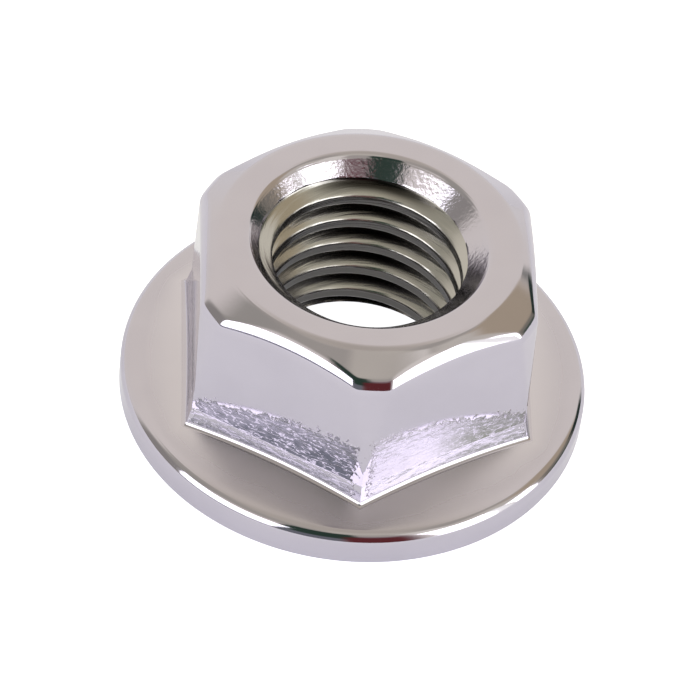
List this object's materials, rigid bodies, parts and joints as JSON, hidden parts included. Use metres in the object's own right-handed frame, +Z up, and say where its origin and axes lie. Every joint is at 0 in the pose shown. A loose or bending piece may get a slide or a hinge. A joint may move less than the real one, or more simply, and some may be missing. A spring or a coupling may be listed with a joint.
{
  "type": "serrated flange nut",
  "caption": "Plated steel hexagon nut with a built-in round flange, a tapped through bore, and ratchet serrations under the flange.",
  "frame": {"origin": "centre of the bearing plane, on the nut's axis, where the crests of the serrations touch what the nut is tightened against", "axes": "+Z up the nut's axis, from the serrated face to the top of the hexagon; one corner of the hexagon points to -Y, and two of its flats face +X and -X"},
  "size_m": [0.0212, 0.0212, 0.0098],
  "materials": {
    "plated_steel": "bright plated steel, mirror-like with softly rounded edges, duller where the forming die dragged at the foot of the flats"
  },
  "bodies": {
    "root": {"flange_nut": "plated_steel"}
  },
  "joints": []
}
